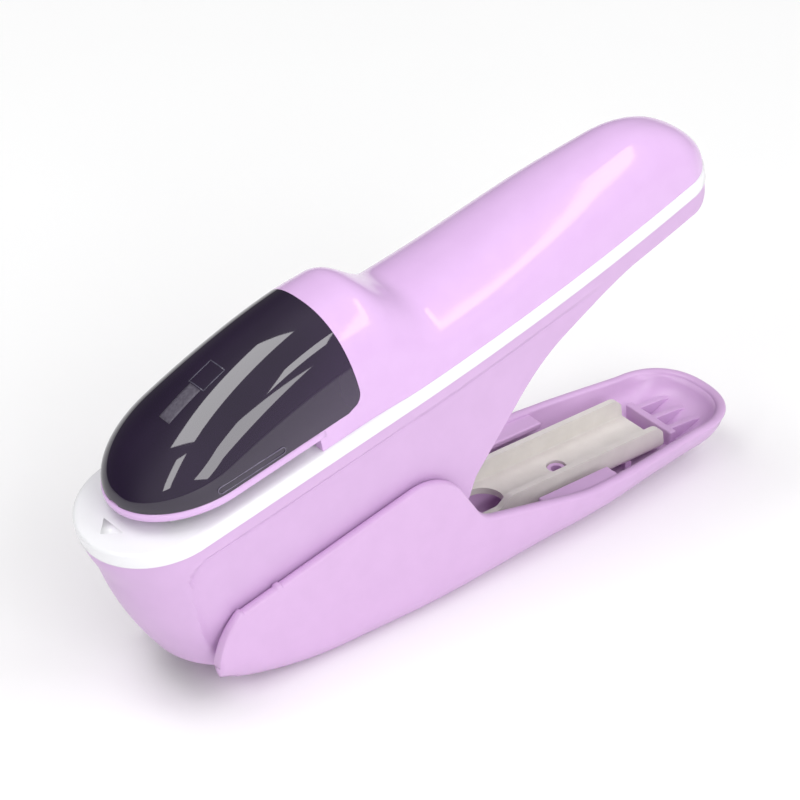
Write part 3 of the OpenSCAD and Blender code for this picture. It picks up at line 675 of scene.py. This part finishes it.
def lever_bottom(x):
    """the underside is flat under the spring and rises to both ends; the flaps' front corner is round"""
    x = np.asarray(x, float)
    low = -5.4 + 0.009 * np.clip(-40 - x, 0, None) ** 2 + 0.0016 * np.clip(x + 14, 0, None) ** 2
    front = 1.4 - np.sqrt(np.clip(4.6 ** 2 - (x + 57.8) ** 2, 0, None))
    return np.where(x < -59, np.maximum(low, front), low)


def edge_r(x):
    """radius of the edge between underside and sides"""
    return 4.6 + 2.9 * ease((x + 28) / 28) - 2 * ease((x - 14) / 18)


def flap_top(x):
    arc = 2 + np.sqrt(np.clip(FLAP_R ** 2 - (x + 52) ** 2, 0, None))
    line = np.interp(x, FLAP[:, 0], FLAP[:, 1]) + np.where((x > LUG[0]) & (x < LUG[1]), LUG[2], 0)
    return np.where(x < -58.4, np.minimum(arc, 10.3), line)


tip_turn = np.radians(np.linspace(4, 90, 22))
lever_x = np.concatenate([-52 - 10.4 * np.cos(np.radians(np.linspace(2, 52, 22))),
                          np.linspace(-58.2, -51.2, 46), np.linspace(-50.5, -36, 16),
                          np.linspace(-35, -9, 44), np.linspace(-8, 26, 34),
                          TIP_START + TIP * np.sin(tip_turn) ** (2 / 2.3)])
lever_half = np.stack([lever_x, lever_w(lever_x)], -1)
lever_half[-1, 1] = 0
tangent = np.gradient(lever_half, axis=0)
tangent /= np.maximum(np.hypot(tangent[:, 0], tangent[:, 1])[:, None], 1e-9)
tangent[-1] = (0, -1)
outward = np.stack([-tangent[:, 1], tangent[:, 0]], -1)
bottom, radius = lever_bottom(lever_x), edge_r(lever_x)
crest = np.maximum(flap_top(lever_x), bottom + 1.2) - BRIM
knee = np.minimum(bottom + radius, crest)      # where the rounded edge becomes the upright wall


def lever_ring(inset, z):
    """open ring from one flap's front round the tail to the other's, let in by inset"""
    p = lever_half - outward * np.broadcast_to(inset, lever_x.shape)[:, None]
    p[:, 1] = np.maximum(p[:, 1], 0)
    p[-1, 1] = 0
    return np.vstack([np.column_stack([p, z]), np.column_stack([p * (1, -1), z])[:-1][::-1]])


def edge_ring(t, angle):
    """ring round the lower edge, on a face inside the outer one by t"""
    inset = radius - (radius - t) * math.sin(angle)
    inset = np.minimum(inset, np.maximum(t, 1.2) + 60 * np.clip(lever_x - FLOOR_START, 0, None))
    rise = radius - np.sqrt(np.clip((radius - t) ** 2 - (radius - inset) ** 2, 0, None))
    return lever_ring(inset, np.minimum(bottom + rise, crest))


# up the outer face, over the brim and down the inner face
edge_turns = np.radians(np.linspace(0, 90, 9))
rings = [edge_ring(0, q) for q in edge_turns]
rings += [lever_ring(0, knee + (crest - knee) * q) for q in np.linspace(0, 1, 12)[1:]]
rings += [lever_ring(WALL / 2 * (1 - math.cos(q)), crest + BRIM * math.sin(q))
          for q in np.radians(np.linspace(0, 180, 9))[1:-1]]
rings += [lever_ring(WALL, knee + (crest - knee) * q) for q in np.linspace(1, 0, 12)]
rings += [edge_ring(WALL, q) for q in edge_turns[::-1][1:]]
v, f = join_grids([np.array(rings)])
far = len(rings[0]) - 1                        # the last point of a ring, on the other flap
inner = len(v) - len(rings[0])                 # the first point of the inner floor's ring
start = int(np.searchsorted(lever_x, -58.5))
# floor outside and inside, its front face, and the flaps' lower edges and front faces
for base in (0, inner):
    for i in range(start, len(lever_x) - 1):
        f.append(face(base + i, base + i + 1, base + far - 1 - i, base + far - i))
f.append([start, inner + start, inner + far - start, far - start])
for i in range(start):
    f.append([i, i + 1, inner + i + 1, inner + i])
    f.append([far - i, far - 1 - i, inner + far - 1 - i, inner + far - i])
for end in (0, far):
    f.append([k * len(rings[0]) + end for k in range(len(rings))])
handle = mesh_object("squeeze_lever_smooth", lever(v), f, LEVER_PINK, "lever_body", bevel=0)
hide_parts("squeeze_lever")


HOLE_X = 6.7                   # the channel's round hole and the boss under it
SPRING_X, SPRING_FOOT = -28, -3.88
CHANNEL_FOOT = -1.02           # top of the ribs and the boss that the channel rests on


def fitting(name, poly, lo, hi, axis, bevel=0.25):
    """a small part moulded into the lever's hollow"""
    v, f = prism(poly, lo, hi, axis)
    return mesh_object(name, lever(v), f, LEVER_PINK, "lever_body", bevel=bevel)


def hollow_post(name, r, bore, foot, top, bore_foot, edge):
    post = fitting(name, circle_pts(HOLE_X, 0, r), foot, top, "z", 0)
    cut(post, [cutter(lever, circle_pts(HOLE_X, 0, bore), bore_foot, 3)])
    finish_edges(post, edge)


# cross wall that follows the hollow, with three fins behind it, and a ledge on each side
wall_r, wall_y, wall_z = float(edge_r(25.0)), float(lever_w(25.0)), float(lever_bottom(25.0))
low = np.radians(np.linspace(-72, -90, 5))
curve = np.column_stack([wall_y - wall_r + (wall_r - 0.9) * np.cos(low),
                         wall_z + wall_r + (wall_r - 0.9) * np.sin(low)])
curve = np.vstack([[5.0, 1.0], curve[curve[:, 0] < 5.0]])
fitting("lever_cross_wall", np.vstack([curve, (curve * (-1, 1))[::-1]]), 24.3, 25.5, "x")
FIN = [(25.2, -2.6), (33.6, -0.9), (33.2, -0.2), (30, 0.6), (25.2, 0.9)]
for k, y in enumerate((-3.45, 0, 3.45)):
    fitting("lever_fin_%d" % k, FIN, y - 0.5, y + 0.5, "y", 0.2)
for k, y in enumerate((-10.9, 7.2)):
    fitting("lever_ledge_%d" % k, [(-3, 1.5), (10, 1.5), (10, 2.5), (-3, 2.5)], y, y + 3.7, "y", 0.3)
for k, x in enumerate((-16, -1, 16)):
    foot = float(lever_bottom(x)) + 0.7
    profile = [(-4.6, foot), (4.6, foot), (4.6, CHANNEL_FOOT), (-4.6, CHANNEL_FOOT)]
    fitting("lever_rib_%d" % k, profile, x, x + 1.2, "x", 0.15)
hollow_post("lever_boss", 3.0, 1.3, -4.1, CHANNEL_FOOT, -3.2, 0.2)
hollow_post("lever_boss_collar", 1.42, 0.8, -3.3, -0.35, -3.1, 0.12)
fitting("spring_peg", circle_pts(SPRING_X, 0, 1.35, 32), -4.2, -0.8, "z", 0.3)


# ---------------------------------------------------------------- return spring
# round wire in nine turns, of which the two end turns lie flat; it is drawn at its free length only, though
# it shortens as the lever closes
TURNS, FREE, WIRE, COIL = 9, 21.1, 0.7, 1.95   # free length, wire thickness and radius of the coil
turn = np.linspace(0, TURNS, TURNS * 28 + 1)
rise = np.where(turn < 1, WIRE / 2 + WIRE / 2 * turn ** 2,
                np.where(turn > TURNS - 1, FREE - WIRE / 2 - WIRE / 2 * (TURNS - turn) ** 2,
                         WIRE + (turn - 1) * (FREE - 2 * WIRE) / (TURNS - 2)))
strands = []
for q in np.radians(np.linspace(0, 360, 12, endpoint=False)):
    r = COIL + WIRE / 2 * math.cos(q)
    height = SPRING_FOOT + rise + WIRE / 2 * math.sin(q)
    strands.append([SPRING_X + r * np.cos(2 * np.pi * turn), r * np.sin(2 * np.pi * turn), height])
v, f = join_grids([np.array(strands).transpose(2, 0, 1)], True)
f += [tuple(range(12)), tuple(range(len(v) - 12, len(v)))]
spring = mesh_object("return_spring_round", lever(v), f, SPRING, "lever_body", bevel=0)
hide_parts("return_spring")
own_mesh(spring)


# ---------------------------------------------------------------- steel channel
CHEEK_Y, FOLD_R = 4.6, 0.6     # the cheeks' middle plane and the radius of their fold
FLOOR_Z, FOLD_Z = -0.5, 0.1    # the channel's floor, and where the fold begins
EYE_X, EYE_R = -52, 3.4        # round the lever's pivot
DRIVE_X, DRIVE_R = -35.8, 3.1  # round the drive pin
CHEEK = rounded([(22.9, 0), (22.9, 3, 2), (-6, 3, 1.5), (-8, 1.5, 1.5), (-22, 1.5, 6), (-33.8, 6.4, 3),
                 (-46, 4.7, 5), (-52, 5.4)])[::-1]


def flange_top(x):
    eye = 2 + np.sqrt(np.clip(EYE_R ** 2 - (x - EYE_X) ** 2, 0, None))
    off_drive = np.abs(x - DRIVE_X)
    drive_eye = 3.4 + np.sqrt(np.clip(DRIVE_R ** 2 - off_drive ** 2, 0, None)) - 9 * (off_drive > DRIVE_R)
    line = np.interp(x, CHEEK[:, 0], CHEEK[:, 1])
    return np.where(x < EYE_X, eye, np.maximum(line, drive_eye))


channel_x = np.concatenate([np.linspace(-55.4, -24, 50), np.linspace(-23, -10, 14), np.linspace(-9, -4, 22),
                            np.linspace(-3, 20, 24), np.linspace(20.5, 22.9, 14)])


def channel_row(y, z):
    return np.stack(np.broadcast_arrays(channel_x, y, z), -1)


def cheek_rows(side):
    """from the cheek's upper edge down and round its fold"""
    tall = np.maximum(flange_top(channel_x), 0.3) - FOLD_Z
    rows = [channel_row(side * CHEEK_Y, FOLD_Z + tall * q) for q in np.linspace(0, 1, 8)[::-1]]
    for q in np.radians([15, 30, 45, 60, 75, 90]):
        y = side * (CHEEK_Y - FOLD_R + FOLD_R * math.cos(q))
        rows.append(channel_row(y, FOLD_Z - FOLD_R * math.sin(q)))
    return rows


floor_rows = [channel_row(y, FLOOR_Z) for y in (1.5, 0, -1.5)]
v, f = join_grids([np.array(cheek_rows(1) + floor_rows + cheek_rows(-1)[::-1])])
channel = mesh_object("lever_channel_smooth", lever(v), f, CREAM, "lever_body", bevel=0, solid=1.0,
                      offset=0)
# the wall is made first, then the holes are cut
thick_mesh = with_modifiers(channel)
channel.modifiers.clear()
channel.data = thick_mesh
floor_slot = np.vstack([[(-80, -3)], circle_pts(-7, 0, 3, 32, -90, 90), [(-80, 3)]])
open_floor = [(-70, -5), (-24.5, -5), (-24.5, -0.9), (-24, -0.2), (-25, 0.2), (-48, -1.0), (-52, -1.4),
              (-70, -1.4)]
cut(channel, [cutter(lever, floor_slot, -3, 2.2), cutter(lever, circle_pts(HOLE_X, 0, 1.5), -3, 3),
              cutter(lever, open_floor, -9, 9, "y")])
finish_edges(channel, 0.12, 40, 2)
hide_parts("lever_channel")


# ---------------------------------------------------------------- the rest keeps the CAD shape
# material, slot and width of the rounded edges in mm
LOOK = {
    "paper_stop_pins": (WHITE, "table", 0.15),
    "lever_pivot_pin": (BLADE, "blade_steel", 0.15),
    "mechanism_frame": (STEEL, "plated", 0.12),
    "lift_rocker": (STEEL, "plated", 0.1),
    "rocker_pivot_pin": (BLADE, "blade_steel", 0.12),
    "retaining_clips": (SPRING, "spring_steel", 0.06),
    "drive_pin": (BLADE, "blade_steel", 0.12),
    "drive_sleeve": (BRASS, "brass", 0.1),
    "blade_carriage": (DARK, "dark_moulding", 0.12),
    "carriage_pins": (BLADE, "blade_steel", 0.12),
    "punch_blade": (BLADE, "blade_steel", 0.03),
    "slit_blade": (BLADE, "blade_steel", 0.03),
    "blade_rivet": (STEEL, "blade_steel", 0.06),
    "tongue_pusher": (CAST, "cast", 0.1),
    "pusher_pin": (BLADE, "blade_steel", 0.08),
    "die_plate": (STEEL, "plated", 0.05),
    "die_screws": (BLADE, "blade_steel", 0.05),
    "spring_pad": (DARK, "dark_moulding", 0.08),
    "frame_screws": (BLADE, "blade_steel", 0.06),
    "housing_screws": (BLADE, "blade_steel", 0.08),
}
for name, (mat, slot, width) in LOOK.items():
    o = frame["nodes"][name]
    o.data.materials.clear()
    o.data.materials.append(mat)
    smooth(o.data)
    finish_edges(o, width, 35, 2)


# ---------------------------------------------------------------- floor, light and camera
def floor():
    squares, reach = 24, 1.5
    at = np.linspace(-reach, reach, squares + 1)
    x, y = np.meshgrid(at, at, indexing="ij")
    me = bpy.data.meshes.new("floor")
    faces = [q[::-1] for q in grid_faces(squares + 1, squares + 1)]
    me.from_pydata([(*p, 0) for p in zip(x.ravel(), y.ravel())], [], faces)
    white = material("floor_white", ((0.95, 0.95, 0.95), (0.96, 0.96, 0.96)), (0.6, 0.8), scale=6)
    me.materials.append(white)
    return placed("floor", me)


LIGHT_DISTANCE = 0.8


def softbox(name, first, second, width, radiance):
    """a strip of light seen from the window along the directions first to second"""
    first, second = Vector(first).normalized(), Vector(second).normalized()
    out = ((first + second) / 2).normalized()
    along = (second - first) - out * (second - first).dot(out)
    length = along.length * LIGHT_DISTANCE
    along.normalize()
    light = bpy.data.lights.new(name, "AREA")
    light.shape = "RECTANGLE"
    light.size, light.size_y = length, width * LIGHT_DISTANCE
    light.energy = radiance * math.pi * light.size * light.size_y
    turned = Matrix((along, out.cross(along), out)).transposed().to_4x4()
    placed(name, light).matrix_world = Matrix.Translation(window_middle + out * LIGHT_DISTANCE) @ turned


floor()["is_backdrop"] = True
lo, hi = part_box("sight_window")
window_middle = (Vector(lo) + Vector(hi)) / 2
softbox("strip_behind", (0.0, 0.33, 0.95), (-0.51, 0.19, 0.84), 0.42, 4.8)
softbox("strip_nose", (-0.56, 0.03, 0.82), (-0.84, -0.36, 0.40), 0.14, 4.8)
softbox("strip_front", (0.06, -0.76, 0.65), (-0.34, -0.90, 0.27), 0.46, 4.2)
softbox("strip_crown", (0.20, -0.62, 0.75), (0.01, -0.63, 0.78), 0.18, 5)
softbox("strip_grip", (0.44, -0.07, 0.90), (0.36, -0.78, 0.52), 0.20, 4)

# plain display colours, so that the white stays white and the pink stays clean
bpy.context.scene.view_settings.view_transform = "Standard"
world = bpy.context.scene.world or bpy.data.worlds.new("studio")
bpy.context.scene.world = world
world.use_nodes = True
# the surround is bright in front and overhead, and dim behind the object
nodes, links = world.node_tree.nodes, world.node_tree.links
aim = nodes.new("ShaderNodeVectorMath")
aim.operation = "DOT_PRODUCT"
aim.inputs[1].default_value = (0.0, -0.8, 0.6)
links.new(nodes.new("ShaderNodeTexCoord").outputs["Generated"], aim.inputs[0])
level = nodes.new("ShaderNodeMapRange")
level.interpolation_type = "SMOOTHSTEP"
level.inputs["From Min"].default_value = -0.5
level.inputs["From Max"].default_value = 0.5
level.inputs["To Min"].default_value = 0.15
level.inputs["To Max"].default_value = 0.58
links.new(aim.outputs["Value"], level.inputs["Value"])
nodes["Background"].inputs[0].default_value = (1, 1, 1, 1)
links.new(level.outputs["Result"], nodes["Background"].inputs[1])

azimuth, elevation, distance = math.radians(-38.7), math.radians(33.1), 0.600
back = Vector((math.sin(azimuth) * math.cos(elevation), -math.cos(azimuth) * math.cos(elevation),
               math.sin(elevation)))
target = LEVER + Vector((0, 0.02777, 0))
camera = bpy.data.cameras.new("camera")
camera.lens = 182.25
camera.sensor_width = 36
camera.clip_end = 10
viewer = placed("camera", camera)
viewer.location = target + back * distance
viewer.rotation_euler = (-back).to_track_quat("-Z", "Y").to_euler()
bpy.context.scene.camera = viewer

lo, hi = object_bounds()
